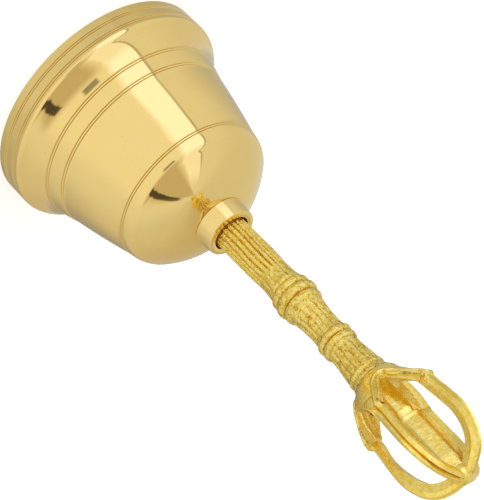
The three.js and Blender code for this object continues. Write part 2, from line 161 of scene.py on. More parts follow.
# One prong is cast thinner: the share of its depth that is missing, at what height, and over what length.
SLIM_SIDE = "right"
SLIM_SHARE = 0.35
SLIM_RISE = 13
SLIM_LENGTH = 8
SPIKE_SKIN = 0.06
SPIKE_SOFTNESS = 0.14
SPIKE_ROW = 0.5
LEDGE_RISE = 13.2
FINIAL_SOFTNESS = 0.45
FINIAL_ROWS = 5
FINIAL_POINT = 0.6
# The finial's half width at each height above its foot.
FINIAL_STATIONS = ((2.6, 0), (3.6, 0.8), (3.8, 2.6), (3.3, 4), (2.1, 5.1))
SQUARE_STEPS = 24

# ---- Clapper, in millimetres ----
BALL_BORE = 1.56
BALL_ROWS = 40
STEEL_PARTS = ("tie_bolt", "crown_washer", "swivel_staple", "staple_pin", "clapper_rod", "ball_nut")

# ---- Metals ----
POLISHED_PALE = (0.95, 0.72, 0.28, 1)
POLISHED_DEEP = (0.9, 0.675, 0.245, 1)
POLISHED_PIT = (0.6, 0.4, 0.14, 1)
# Painted shade for the cut lines and creases of the polished brass.
GROOVE_SHADE_BROWN = (0.16, 0.07, 0.01, 1)
# Painted shade for the collar's bore around the stem.
BORE_SHADE_COPPER = (0.78, 0.28, 0.04, 1)
CAST_PALE = (1.0, 0.85, 0.26, 1)
CAST_DEEP = (0.98, 0.7, 0.12, 1)
CAST_AMBER = (0.9, 0.58, 0.08, 1)
CAST_SCORE = (0.62, 0.36, 0.03, 1)
CAST_PIT = (0.5, 0.27, 0.025, 1)
# Painted shade for cast faces turned towards the handle's axis.
CAST_INWARD_SHADE = (0.84, 0.43, 0.03, 1)
# Painted light for the inside of the cup.
CAST_CUP_PAINTED_LIGHT = (1.0, 0.82, 0.3, 1)
# Painted shade for hollows and creases in the casting.
CAST_CREVICE_SHADE = (0.6, 0.28, 0.02, 1)
CAST_WORN = (1.0, 0.9, 0.42, 1)
# Painted shade for the stem inside the collar's socket.
SOCKET_SHADE_COPPER = (0.75, 0.27, 0.03, 1)
CLAPPER_TAN = (0.74, 0.54, 0.23, 1)
CLAPPER_BLOOM = (0.5, 0.34, 0.13, 1)
ZINC_DARK = (0.52, 0.52, 0.5, 1)
ZINC_PALE = (0.72, 0.71, 0.67, 1)

# ---- Stage ----
FLOOR_RADIUS = 4.0
FLOOR_STEPS = 96
FLOOR_SHADE = (0.9, 0.9, 0.9, 1)
FLOOR_ROUGHNESS = 0.9
FLOOR_GLOW = 0.5
WHITE = (1, 1, 1, 1)
TENT_WHITE = (1.0, 0.985, 0.96, 1)
TENT_WARM = (1.0, 0.9, 0.74, 1)
ROOM_WARM = (1.0, 0.88, 0.7, 1)
SOFT_BOX_COOL = (1.0, 1.03, 1.32, 1)
TENT_BRIGHTNESS = 0.73
TENT_FOOT_DARKER = 0.2
SOFT_BOX_BRIGHTER = 0.42
FRAME_LINE_DARKER = 0.3
ROOM_DARKER = 0.34
STAND_DARKER = 0.52
PORT_DARKER = 0.6
# How far the edges of the soft box and the stand wander, in degrees.
EDGE_WANDER = 9
# Changes in the tent's brightness, and the bearings in degrees between which each one comes in.
TENT_CHANGES = (
    (0.1, -125, -75), (0.12, -40, -20), (-0.11, 45, 75), (-0.12, 75, 115), (-0.12, 115, 165),
)


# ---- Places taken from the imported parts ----
def low(node):
    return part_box(node)[0][2] / MM


def high(node, axis=2):
    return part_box(node)[1][axis] / MM


CROWN_HEIGHT = high("bell_shell")
COLLAR_RADIUS = high("socket_collar", 0)
COLLAR_FOOT = low("socket_collar")
COLLAR_TOP = high("socket_collar")
STEM_FOOT = low("handle_stem")
STEM_TOP = high("handle_stem")
KNOP_FOOT = STEM_TOP - KNOP_TO_TOP
KNOP_TOP = KNOP_FOOT + KNOP_HEIGHT
RING_FOOT = KNOP_TOP + MIDDLE_HEIGHT
RING_TOP = RING_FOOT + RING_HEIGHT
STEM_WAIST = KNOP_FOOT - STEM_WAIST_DROP
CUP_FOOT = low("vajra_cup")
PRONG_FOOT = low("prong_front")
CAGE_TOP = high("prong_front")
FINIAL_FOOT = low("finial")
FINIAL_TOP = high("finial")
SPIKE_FOOT = low("centre_spike")
BALL_HEIGHT = (low("clapper_ball") + high("clapper_ball")) / 2
BALL_RADIUS = high("clapper_ball", 0)


# ---- Shader maths ----
class Signal:
    """One output of a node. Arithmetic on signals adds Math nodes to their tree."""

    def __init__(self, finish, socket):
        self.finish = finish
        self.socket = socket

    def maths(self, operation, *values):
        return self.finish.node("ShaderNodeMath", {"operation": operation}, *values)

    def __add__(self, other):
        return self.maths("ADD", self, other)

    def __radd__(self, other):
        return self.maths("ADD", other, self)

    def __sub__(self, other):
        return self.maths("SUBTRACT", self, other)

    def __rsub__(self, other):
        return self.maths("SUBTRACT", other, self)

    def __mul__(self, other):
        return self.maths("MULTIPLY", self, other)

    def __rmul__(self, other):
        return self.maths("MULTIPLY", other, self)

    def __truediv__(self, other):
        return self.maths("DIVIDE", self, other)

    def __pow__(self, other):
        return self.maths("POWER", self, other)


class Finish:
    """A node tree that is being filled in."""

    def __init__(self, tree):
        self.tree = tree
        tree.nodes.clear()

    def node(self, kind, settings=None, *values, output=0, **named):
        node = self.tree.nodes.new(kind)
        for name, value in (settings or {}).items():
            setattr(node, name, value)
        inputs = {index: value for index, value in enumerate(values)}
        inputs.update({name.replace("_", " "): value for name, value in named.items()})
        for key, value in inputs.items():
            if isinstance(value, Signal):
                self.tree.links.new(value.socket, node.inputs[key])
            else:
                node.inputs[key].default_value = value
        return Signal(self, node.outputs[output]) if node.outputs else None

    def parts(self, vector):
        split = self.node("ShaderNodeSeparateXYZ", None, vector).socket.node
        return [Signal(self, socket) for socket in split.outputs]

    def object_place(self):
        return self.node("ShaderNodeTexCoord", output="Object")

    def stretched(self, vector, scale):
        return self.node("ShaderNodeMapping", None, vector, Scale=scale)

    def speckle(self, vector, scale, detail=3.0, roughness=0.55):
        return self.node(
            "ShaderNodeTexNoise", None, Vector=vector, Scale=scale, Detail=detail, Roughness=roughness
        )

    def step(self, value, start, end, low_value=0.0, high_value=1.0):
        """Goes smoothly from one value at start to another at end."""
        smooth = {"interpolation_type": "SMOOTHSTEP"}
        return self.node("ShaderNodeMapRange", smooth, value, start, end, low_value, high_value)

    def mixed(self, factor, first, second):
        node = self.tree.nodes.new("ShaderNodeMix")
        node.data_type = "RGBA"
        for index, value in ((0, factor), (6, first), (7, second)):
            if isinstance(value, Signal):
                self.tree.links.new(value.socket, node.inputs[index])
            else:
                node.inputs[index].default_value = value
        return Signal(self, node.outputs[2])

    def bump(self, height, distance, under=None):
        named = {"Height": height, "Distance": distance, "Strength": 1.0}
        if under is not None:
            named["Normal"] = under
        return self.node("ShaderNodeBump", None, **named)

    def metal(self, colour, roughness, normal, metallic=1.0):
        shader = self.node(
            "ShaderNodeBsdfPrincipled", None,
            Base_Color=colour, Metallic=metallic, Roughness=roughness, Normal=normal,
        )
        self.node("ShaderNodeOutputMaterial", None, Surface=shader)


def finish_named(name):
    material = bpy.data.materials.new(name)
    material.use_nodes = True
    return material, Finish(material.node_tree)


def polished_brass():
    """Mirror-bright turned brass: faint lathe lines round the axis, a light haze and a few tiny pits."""
    material, make = finish_named("polished_brass")
    place = make.object_place()
    x, y, z = make.parts(place)
    radius = (x * x + y * y) ** 0.5
    round_the_axis = make.node("ShaderNodeCombineXYZ", None, radius, 0.0, z)
    lathe = make.speckle(round_the_axis, 900.0, 2.0)
    waves = make.speckle(place, 45.0, 2.0)
    haze = make.speckle(place, 130.0, 4.0)
    pits = make.step(make.speckle(place, 1500.0, 1.0), 0.74, 0.8)
    tone = make.mixed(haze, POLISHED_DEEP, POLISHED_PALE)
    pitted = make.mixed(pits * 0.5, tone, POLISHED_PIT)
    crevice = make.node("ShaderNodeNewGeometry", output="Pointiness")
    # Painted shade: cut lines and creases found by pointiness are painted dark brown.
    groove_shade = 1 - make.step(crevice, 0.44, 0.49)
    lined = make.mixed(groove_shade, pitted, GROOVE_SHADE_BROWN)
    # Painted shade: the bore of the collar is painted dark copper, made rougher and made less metallic.
    in_bore = 1 - make.step(radius, (COLLAR_BORE - 0.15) * MM, (COLLAR_BORE + 0.1) * MM)
    bore_shade = in_bore * make.step(z, (CROWN_HEIGHT - 1) * MM, CROWN_HEIGHT * MM)
    colour = make.mixed(bore_shade, lined, BORE_SHADE_COPPER)
    roughness = make.step(haze, 0.3, 0.75, 0.025, 0.06) + pits * 0.15 + bore_shade * 0.3
    soft = make.bump(waves, 0.0001)
    normal = make.bump(lathe, 0.0000035, under=soft)
    make.metal(colour, roughness, normal, 1 - bore_shade * 0.65)
    return material


def cast_brass(name, grit, pitting):
    """Sand-cast brass: brushed on its high spots, with painted shade in deeper orange in hollows, on faces
    turned towards the axis and in the socket, and painted light inside the cup.
    """
    material, make = finish_named(name)
    place = make.object_place()
    x, y, z = make.parts(place)
    facing_x, facing_y, _ = make.parts(make.node("ShaderNodeNewGeometry", output="Normal"))
    from_axis = x - (z - KNOP_FOOT * MM) * HANDLE_LEAN
    radius = (from_axis * from_axis + y * y) ** 0.5
    outward = (facing_x * from_axis + facing_y * y) / (radius + 0.0001)
    # Painted shade: faces turned towards the handle's axis are painted a deeper orange.
    inward_painted_shade = (1 - make.step(outward, -0.6, 0.05)) * make.step(radius, 3.5 * MM, 7 * MM)
    above_foot = make.step(z, CUP_FOOT * MM, (CUP_FOOT + 1) * MM)
    below_prongs = make.step(z, (PRONG_FOOT + 9) * MM, (PRONG_FOOT + 5) * MM)
    # Painted light: the inside of the cup is painted paler and made less metallic.
    in_cup_painted_light = above_foot * below_prongs * (1 - make.step(outward, -0.5, 0.3))
    # Painted shade: the stem inside the collar's socket is painted dark copper and made less metallic.
    in_socket_shade = 1 - make.step(z, (COLLAR_TOP - 0.6) * MM, (COLLAR_TOP + 0.4) * MM)

    grain = make.speckle(place, 1700.0, 4.0, 0.7)
    lumps = make.speckle(place, 700.0, 3.0)
    streaks = make.speckle(make.stretched(place, (1.0, 1.0, 0.1)), 1300.0, 3.0)
    patches = make.speckle(place, 90.0, 2.0)
    crevice = make.node("ShaderNodeNewGeometry", output="Pointiness")
    # Painted shade: hollows and creases found by pointiness are painted dark orange, except inside the cup,
    # and made a little rougher.
    crevice_painted_shade = 1 - make.step(crevice, 0.42, 0.505)
    worn_edge = make.step(crevice, 0.52, 0.6)
    pits = 1 - make.step(grain * 0.6 + lumps * 0.4, 0.4, 0.47)
    granular = make.step(z, (KNOP_FOOT - 8) * MM, (KNOP_FOOT + 6) * MM, 0.15, 1.0)
    scored = (1 - make.step(streaks, 0.36, 0.42)) * grit * 0.45

    tone = make.mixed(make.step(lumps, 0.35, 0.65), CAST_DEEP, CAST_PALE)
    warmed = make.mixed(make.step(patches, 0.4, 0.7) * 0.35, tone, CAST_AMBER)
    scored_tone = make.mixed(scored, warmed, CAST_SCORE)
    pitted = make.mixed(pits * granular * pitting, scored_tone, CAST_PIT)
    shaded = make.mixed(inward_painted_shade * 0.12, pitted, CAST_INWARD_SHADE)
    lit = make.mixed(in_cup_painted_light * 0.35, shaded, CAST_CUP_PAINTED_LIGHT)
    dark = make.mixed(crevice_painted_shade * 0.85 * (1 - in_cup_painted_light), lit, CAST_CREVICE_SHADE)
    worn = make.mixed(worn_edge * 0.8, dark, CAST_WORN)
    colour = make.mixed(in_socket_shade * 0.8, worn, SOCKET_SHADE_COPPER)
    roughness = make.step(grain, 0.3, 0.7, 0.12, 0.26) + crevice_painted_shade * 0.1
    rough_skin = make.bump(lumps, 0.0005 * grit)
    lined = make.bump(streaks, 0.0002 * grit, under=rough_skin)
    normal = make.bump(grain, 0.00018 * grit, under=lined)
    make.metal(colour, roughness, normal, 1 - in_socket_shade * 0.6 - in_cup_painted_light * 0.2)
    return material


def clapper_brass():
    """Turned brass that is seldom touched: a dull brown bloom over a satin surface."""
    material, make = finish_named("clapper_brass")
    place = make.object_place()
    bloom = make.step(make.speckle(place, 120.0, 4.0), 0.42, 0.68)
    scratches = make.speckle(make.stretched(place, (0.2, 0.2, 3.0)), 600.0, 2.0)
    colour = make.mixed(bloom, CLAPPER_TAN, CLAPPER_BLOOM)
    roughness = make.step(bloom, 0.0, 1.0, 0.2, 0.42)
    make.metal(colour, roughness, make.bump(scratches, 0.00003))
    return material


def plated_steel():
    """Zinc-plated fasteners: cool grey with a mottled sheen and fine draw marks."""
    material, make = finish_named("plated_steel")
    place = make.object_place()
    mottle = make.speckle(place, 500.0, 3.0)
    marks = make.speckle(make.stretched(place, (4.0, 4.0, 0.3)), 700.0, 2.0)
    colour = make.mixed(mottle, ZINC_DARK, ZINC_PALE)
    roughness = make.step(mottle, 0.3, 0.7, 0.22, 0.4)
    make.metal(colour, roughness, make.bump(marks, 0.00002))
    return material


MATERIALS = {
    "polished_brass": polished_brass(),
    "cast_brass": cast_brass("cast_brass", grit=0.16, pitting=0.1),
    "gritty_cast_brass": cast_brass("gritty_cast_brass", grit=1.0, pitting=0.8),
    "clapper_brass": clapper_brass(),
    "plated_steel": plated_steel(),
}


# ---- Making pieces ----
def finished(name, bm, slot, body, node, material=None):
    """Turns a bmesh in millimetres into a piece in metres that stands for a CAD node."""
    bmesh.ops.remove_doubles(bm, verts=bm.verts, dist=WELD)
    bmesh.ops.recalc_face_normals(bm, faces=bm.faces)
    bmesh.ops.scale(bm, verts=bm.verts, vec=(MM, MM, MM))
    for face in bm.faces:
        face.smooth = True
    for edge in bm.edges:
        if len(edge.link_faces) == 2 and edge.calc_face_angle() > SHARP_ANGLE:
            edge.smooth = False
    mesh = bpy.data.meshes.new(name)
    bm.to_mesh(mesh)
    bm.free()
    piece = bpy.data.objects.new(name, mesh)
    bpy.context.scene.collection.objects.link(piece)
    mesh.materials.append(MATERIALS[material or slot])
    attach(piece, body)
    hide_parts(node)


def spun(profile, steps=SPIN_STEPS, closed=True):
    """Turns a chain of (radius, height) points about the Z axis. A closed chain makes a ring with a hole."""
    bm = bmesh.new()
    points = [bm.verts.new((r, 0, z)) for r, z in profile]
    pairs = list(zip(points, points[1:]))
    if closed:
        pairs.append((points[-1], points[0]))
    edges = [bm.edges.new(pair) for pair in pairs]
    bmesh.ops.spin(
        bm, geom=points + edges, axis=(0, 0, 1), cent=(0, 0, 0), angle=math.tau, steps=steps, use_merge=True
    )
    bmesh.ops.remove_doubles(bm, verts=bm.verts, dist=WELD)
    return bm


def lofted(rings):
    """Skins a row of closed rings of points, and caps both ends."""
    bm = bmesh.new()
    loops = []
    for ring in rings:
        points = [bm.verts.new(point) for point in ring]
        loops.append([bm.edges.new((a, b)) for a, b in zip(points, points[1:] + points[:1])])
    for first, second in zip(loops, loops[1:]):
        bmesh.ops.bridge_loops(bm, edges=first + second)
    for loop in (loops[0], loops[-1]):
        bmesh.ops.holes_fill(bm, edges=loop, sides=0)
    return bm


def blend(value, start, end):
    """0 below start, 1 above end, and a smooth rise between."""
    t = min(1, max(0, (value - start) / (end - start)))
    return t * t * (3 - 2 * t)


def plateau(value, start, full, fading, end):
    """0 below start and above end, 1 from full to fading, and smooth between."""
    return blend(value, start, full) * (1 - blend(value, fading, end))


def hump(value, centre, width):
    """A bell curve of height 1."""
    return math.exp(-(((value - centre) / width) ** 2))


def straight(start, end):
    """The radius at any height on the line through two (radius, height) points."""
    return lambda z: start[0] + (end[0] - start[0]) * (z - start[1]) / (end[1] - start[1])


def curve_through(start, pull, end, steps):
    """Points of the curve from start to end that bends towards pull, without its first."""
    points = []
    for i in range(1, steps + 1):
        t = i / steps
        a, b, c = (1 - t) ** 2, 2 * t * (1 - t), t * t
        points.append((a * start[0] + b * pull[0] + c * end[0], a * start[1] + b * pull[1] + c * end[1]))
    return points


def dome_points(start, end, steps):
    """Points of the arc centred on the axis between two points, without the first."""
    centre = (start[0] ** 2 - end[0] ** 2 + start[1] ** 2 - end[1] ** 2) / (2 * (start[1] - end[1]))
    radius = math.hypot(start[0], start[1] - centre)
    first = math.atan2(start[1] - centre, start[0])
    last = math.atan2(end[1] - centre, end[0])
    angles = [first + (last - first) * i / steps for i in range(1, steps + 1)]
    return [(radius * math.cos(a), centre + radius * math.sin(a)) for a in angles]


def looked_up(table, value):
    """The row of a table at a value of its first column, drawn straight between two rows."""
    for row, after in zip(table, table[1:]):
        if value <= after[0]:
            share = (value - row[0]) / (after[0] - row[0])
            return [a + (b - a) * share for a, b in zip(row, after)]
    return list(table[-1])


def smooth_through(stations, substeps):
    """Values along a smooth curve through every station."""
    result = []
    last = len(stations) - 1
    for i in range(last):
        before, start, end, after = (stations[min(last, max(0, i + k))] for k in (-1, 0, 1, 2))
        for step in range(substeps):
            t = step / substeps
            values = []
            for a, b, c, d in zip(before, start, end, after):
                bend = (2 * a - 5 * b + 4 * c - d) * t ** 2
                twist = (3 * b - a - 3 * c + d) * t ** 3
                values.append(0.5 * (2 * b + (c - a) * t + bend + twist))
            result.append(values)
    return result + [list(stations[last])]


def roughened(bm, height):
    """Gives a casting its uneven skin by moving its points along their normals."""
    bm.normal_update()
    moves = []
    for vert in bm.verts:
        lump = noise.fractal(vert.co * SKIN_SCALE, 0.8, 2.0, 3)
        moves.append((vert, vert.normal * lump * height))
    for vert, move in moves:
        vert.co += move


def leaned(bm):
    """From the knop up, the handle leans a little to one side."""
    for vert in bm.verts:
        vert.co.x += HANDLE_LEAN * max(0, vert.co.z - KNOP_FOOT)


def cast(bm, node, skin, material=None):
    """Finishes a piece of the handle's casting."""
    roughened(bm, skin)
    leaned(bm)
    return finished(f"{node}_cast", bm, "cast_brass", "root", node, material)


# ---- Bell and collar ----
def double_line(radius_at, height):
    """Two fine V lines cut side by side."""
    points = []
    for centre in (height - LINE_SPACING / 2, height + LINE_SPACING / 2):
        for offset, depth in ((-0.5, 0), (-0.1, LINE_DEPTH), (0.1, LINE_DEPTH), (0.5, 0)):
            z = centre + offset * LINE_WIDTH
            points.append((radius_at(z) - depth, z))
    return points


def bell_profile():
    """The bell's section: up its outside from the mouth, through the bolt's hole and down its inside."""
    mouth = LIP_RADIUS - LIP_WALL
    reach = LINE_SPACING
    lip_top = LIP_HEIGHT + 0.2
    waist_foot = (WAIST[0] + 0.15, WAIST[1] - reach)
    waist_top = (WAIST[0] - 0.2, WAIST[1] + reach)
    band_foot = (BAND[0] + 0.25, BAND[1] - reach)
    barrel_foot = (BAND[0] - 0.2, BAND[1] + reach)
    barrel_top = (SHOULDER[0] + 0.15, SHOULDER[1] - reach)
    roll_foot = (SHOULDER[0] - 0.1, SHOULDER[1] + reach)
    bulge = ((barrel_foot[0] + barrel_top[0]) / 2 + BARREL_BULGE, (barrel_foot[1] + barrel_top[1]) / 2)
    ceiling = CROWN_HEIGHT - CROWN_WALL
    lip = straight((LIP_RADIUS, LIP_ROLL), (LIP_RADIUS + 0.1, LIP_HEIGHT))
    band = straight(waist_top, band_foot)

    profile = [(mouth + LIP_ROLL, 0), (LIP_RADIUS - LIP_ROLL, 0)]
    profile += curve_through(profile[-1], (LIP_RADIUS, 0), (LIP_RADIUS, LIP_ROLL), 5)
    for height in LIP_LINES:
        profile += double_line(lip, height)
    profile.append((lip(lip_top), lip_top))
    profile += curve_through(profile[-1], (40.1, 9.95), (39.15, 10.7), 8)
    profile += curve_through(profile[-1], (36.4, 13.1), (WAIST[0] + 0.1, WAIST[1] - reach), 20)
    profile += double_line(straight(waist_foot, waist_top), WAIST[1])
    profile += [(band(z), z) for z in (waist_top[1], band_foot[1])]
    profile += double_line(straight(band_foot, barrel_foot), BAND[1])
    profile.append(barrel_foot)
    profile += curve_through(barrel_foot, bulge, barrel_top, 20)
    profile += double_line(straight(barrel_top, roll_foot), SHOULDER[1])
    profile.append(roll_foot)
    profile += curve_through(roll_foot, (27.15, 52.5), (CREASE[0] + 0.1, CREASE[1] - 0.1), 12)
    profile.append((CREASE[0] - 0.12, CREASE[1] + 0.1))
    profile += dome_points(profile[-1], (COLLAR_RADIUS + 0.02, CROWN_HEIGHT - 0.01), 28)
    profile += [(COLLAR_RADIUS - 0.5, CROWN_HEIGHT), (BOLT_HOLE, CROWN_HEIGHT)]
    profile += [(BOLT_HOLE, ceiling), (CEILING_RADIUS, ceiling)]
    profile += dome_points(profile[-1], (SHOULDER[0] - WALL, SHOULDER[1]), 20)
    profile += [(BAND[0] - WALL, BAND[1]), (WAIST[0] - WALL, WAIST[1])]
    profile += curve_through(profile[-1], (WAIST[0] - WALL, 13.5), (mouth, LIP_HEIGHT), 12)
    profile.append((mouth, LIP_ROLL))
    return profile + curve_through(profile[-1], (mouth, 0), (mouth + LIP_ROLL, 0), 4)[:-1]


def make_bell():
    finished("bell_shell_turned", spun(bell_profile()), "polished_brass", "root", "bell_shell")


def make_collar():
    """A cone with a fine seam at its foot and a bore that the stem stands in."""
    rim = COLLAR_RADIUS - COLLAR_TAPER
    floor = STEM_FOOT - 0.05
    profile = [(BOLT_HOLE, COLLAR_FOOT), (COLLAR_RADIUS - COLLAR_SEAM, COLLAR_FOOT)]
    profile += [(COLLAR_RADIUS, COLLAR_FOOT + COLLAR_SEAM), (rim + 0.05, COLLAR_TOP - COLLAR_ROLL)]
    profile += curve_through(profile[-1], (rim, COLLAR_TOP - 0.02), (rim - COLLAR_ROLL, COLLAR_TOP), 8)
    profile.append((COLLAR_BORE + BORE_ROLL, COLLAR_TOP))
    profile += curve_through(profile[-1], (COLLAR_BORE, COLLAR_TOP), (COLLAR_BORE, COLLAR_TOP - BORE_ROLL), 4)
    profile += [(COLLAR_BORE, floor), (BOLT_HOLE, floor)]
    finished("socket_collar_turned", spun(profile), "polished_brass", "root", "socket_collar")


# ---- Handle stem ----
def beads(z, foot, rows):
    """How far a stack of half-round beads stands out at a height."""
    bulges = 0
    for middle, half_height, bulge in rows:
        offset = (z - foot - middle) / half_height
        bulges += bulge * math.sqrt(max(0, 1 - offset * offset))
    return bulges


def stem_radius(z):
    """The stem's radius at a height, without its reeds."""
    if z > RING_TOP:
        flare = 1.05 * blend(z, RING_TOP + 1, RING_TOP + 13.5)
        edge = 0.55 * blend(z, STEM_TOP - 2.2, STEM_TOP) + 0.25 * hump(z, STEM_TOP - 3.2, 0.5)
        return 5.5 + flare + edge
    if z > KNOP_TOP:
        share = min(1, (z - KNOP_TOP) / MIDDLE_HEIGHT)
        return 6.1 - 0.75 * math.sin(share * math.pi * 0.75) + beads(z, RING_FOOT, RING_BEADS)
    waist = 0.25 * hump(z, STEM_WAIST, 3.5)
    foot_swell = 0.2 * hump(z, KNOP_FOOT - 0.6, 1.2)
    core = 0.55 * plateau(z, KNOP_FOOT + 0.3, KNOP_FOOT + 1.4, KNOP_FOOT + 9, KNOP_FOOT + 10.3)
    return REED_RADIUS - waist + foot_swell + core + beads(z, KNOP_FOOT, KNOP_BEADS)


def fluting(angle, z):
    """How deep the lines that run up the handle are cut at one place."""
    uneven = 0.5 * math.sin(z * 0.35) + 0.8 * math.sin(3 * angle + 1)
    reeds = REED_DEPTH * (0.5 + 0.5 * math.cos(REEDS * angle + uneven)) ** 2.5
    reeds *= 1 - blend(z, STEM_WAIST - 1.5, STEM_WAIST + 1)
    flutes = FLUTE_DEPTH * (0.5 + 0.5 * math.cos(FLUTES * angle + 0.6 * math.sin(z * 0.5))) ** 3
    above_knop = plateau(z, KNOP_FOOT + 11, KNOP_FOOT + 12.5, KNOP_FOOT + 21.5, KNOP_FOOT + 23)
    above_ring = plateau(z, KNOP_FOOT + 29.2, KNOP_FOOT + 30.5, STEM_TOP - 5, STEM_TOP - 4)
    below_knop = plateau(z, STEM_WAIST - 1, STEM_WAIST + 1.5, KNOP_FOOT - 1.5, KNOP_FOOT - 0.8)
    return reeds + flutes * max(above_knop, above_ring, 0.7 * below_knop)


def make_stem():
    heights = [STEM_FOOT + (STEM_TOP - STEM_FOOT) * i / STEM_ROWS for i in range(STEM_ROWS + 1)]
    profile = [(0, STEM_FOOT)] + [(stem_radius(z), z) for z in heights] + [(0, STEM_TOP)]
    bm = spun(profile, HANDLE_STEPS, closed=False)
    for vert in bm.verts:
        radius = math.hypot(vert.co.x, vert.co.y)
        if radius > 1:
            cut = fluting(math.atan2(vert.co.y, vert.co.x), vert.co.z) / radius
            vert.co.x *= 1 - cut
            vert.co.y *= 1 - cut
    cast(bm, "handle_stem", STEM_SKIN, "gritty_cast_brass")


# ---- Vajra cage: cup ----
def rib_height(distance):
    """A rib, a groove on its upper side and a fainter ridge past the groove."""
    return sum(height * hump(distance, place, width) for height, place, width in RIB_SECTION)


def cup_column(angle, rim, rib, wall):
    """The cup's section at an angle from a prong's middle, as (radius, height above the prong's foot).

    It runs up the outside, over the rim and down the inside, and ends on the floor.
    """
    foot = CUP_FOOT - PRONG_FOOT
    floor = foot + CUP_FLOOR
    top = looked_up(rim, angle)[1]
    rib_rise = looked_up(rib, angle)[1]

    def wall_at(rise):
        _, under, between, thickness = looked_up(wall, rise)
        return under + (between - under) * blend(angle, *ROOT_EDGE), thickness

    points = []
    for step in range(CUP_OUTSIDE_ROWS + 1):
        rise = foot + (top - foot) * step / CUP_OUTSIDE_ROWS
        radius = wall_at(rise)[0]
        away = min(math.hypot(math.radians(angle - a) * radius, rise - r) for a, r in rib)
        if rise < rib_rise:
            away = -away
        points.append((radius + rib_height(away) * blend(rise, foot, foot + 1), rise))
    radius, thickness = wall_at(top)
    for step in range(1, CUP_RIM_ROWS):
        turn = math.pi * step / CUP_RIM_ROWS
        points.append((radius - thickness / 2 * (1 - math.cos(turn)), top + CUP_RIM_ROLL * math.sin(turn)))
    for step in range(CUP_INSIDE_ROWS + 1):
        rise = top + (floor - top) * step / CUP_INSIDE_ROWS
        radius, thickness = wall_at(rise)
        fillet = CUP_FILLET * (1 - blend(rise, floor - 0.5, floor + 3))
        points.append((radius - thickness - fillet, rise))
    last = points[-1][0]
    return points + [(last * (1 - step / CUP_FLOOR_ROWS), floor) for step in range(1, CUP_FLOOR_ROWS)]


def off_axis(bm):
    """The cup and the prongs' roots stand a little to one side of the handle's axis."""
    for vert in bm.verts:
        vert.co.x += CUP_SHIFT * plateau(vert.co.z - PRONG_FOOT, -7, -3, -1, 10)


def make_cup():
    """A cup whose wall rises into a root under each prong, with a rib outside that dips between them."""
    rim = smooth_through(CUP_RIM, 6)
    rib = smooth_through(CUP_RIB, 8)
    wall = smooth_through(CUP_WALL, 4)
    rib = sorted([[QUARTER - a, r] for a, r in rib[:-1]] + [[-a, r] for a, r in rib[1:]] + rib)
    steps = CUP_STEPS // PRONGS
    eighth = [cup_column(QUARTER * i / steps, rim, rib, wall) for i in range(steps // 2 + 1)]
    columns = []
    for i in range(CUP_STEPS):
        past_prong = i % steps
        turn = math.tau * i / CUP_STEPS + CAGE_TURN
        column = eighth[min(past_prong, steps - past_prong)]
        c, s = math.cos(turn), math.sin(turn)
        columns.append([Vector((r * c, r * s, PRONG_FOOT + rise)) for r, rise in column])
    bm = lofted(zip(*columns))
    off_axis(bm)
    cast(bm, "vajra_cup", CUP_SKIN)


# ---- Vajra cage: prongs, spike and finial ----
def round_the_cup(radius, across, z):
    """A point set out sideways: round the cup where the casting is wide, straight where it nears the axis."""
    bent = blend(radius, *BENT_RADII)
    turn = across / max(radius, 1)
    x = radius + bent * (radius * math.cos(turn) - radius)
    y = across + bent * (radius * math.sin(turn) - across)
    return Vector((x, y, z))


def prong_rings(slim):
    """Sections of a prong along its smooth path, square to the path."""
    path = smooth_through(PRONG_STATIONS, PRONG_SUBSTEPS)
    corners = PRONG_SECTION + PRONG_SECTION[:1]
    rings = []
    for i, (radius, rise, width, depth) in enumerate(path):
        behind, ahead = path[max(0, i - 1)], path[min(len(path) - 1, i + 1)]
        slope = math.atan2(ahead[1] - behind[1], ahead[0] - behind[0])
        depth *= 1 - slim * hump(rise, SLIM_RISE, SLIM_LENGTH)
        ring = []
        for (u, v), (next_u, next_v) in zip(corners, corners[1:]):
            for k in range(SIDE_SUBSTEPS):
                share = k / SIDE_SUBSTEPS
                across = width * (u + (next_u - u) * share)
                out = depth * (v + (next_v - v) * share)
                out_radius = radius + out * math.sin(slope)
                ring.append(round_the_cup(out_radius, across, PRONG_FOOT + rise - out * math.cos(slope)))
        rings.append(ring)
    return rings


def make_prong(side, turn):
    """A prong with a spur just above the root that it stands on."""
    bm = lofted(prong_rings(SLIM_SHARE if side == SLIM_SIDE else 0.0))
    bmesh.ops.rotate(bm, verts=bm.verts, cent=(0, 0, 0), matrix=Matrix.Rotation(turn, 3, "Z"))
    off_axis(bm)
    cast(bm, f"prong_{side}", PRONG_SKIN)


def square_ring(half, z, softness):
    """A square with soft corners, half as wide as it is given. Its sides face between the prongs."""
    ring = []
    for i in range(SQUARE_STEPS):
        angle = math.tau * i / SQUARE_STEPS
        c, s = math.cos(angle), math.sin(angle)
        reach = half / (abs(c) ** (1 / softness) + abs(s) ** (1 / softness)) ** softness
        turned = angle + CAGE_TURN + math.pi / PRONGS
        ring.append(Vector((reach * math.cos(turned), reach * math.sin(turned), z)))
    return ring


def square_bar(stations, softness, rows_over):
    """A bar through (half width, height) stations, with so many rows over the rise between two of them."""
    rings = []
    for (half, z), (next_half, next_z) in zip(stations, stations[1:]):
        rows = rows_over(next_z - z)
        for i in range(rows):
            share = i / rows
            rings.append(square_ring(half + (next_half - half) * share, z + (next_z - z) * share, softness))
    rings.append(square_ring(*stations[-1], softness))
    return lofted(rings)


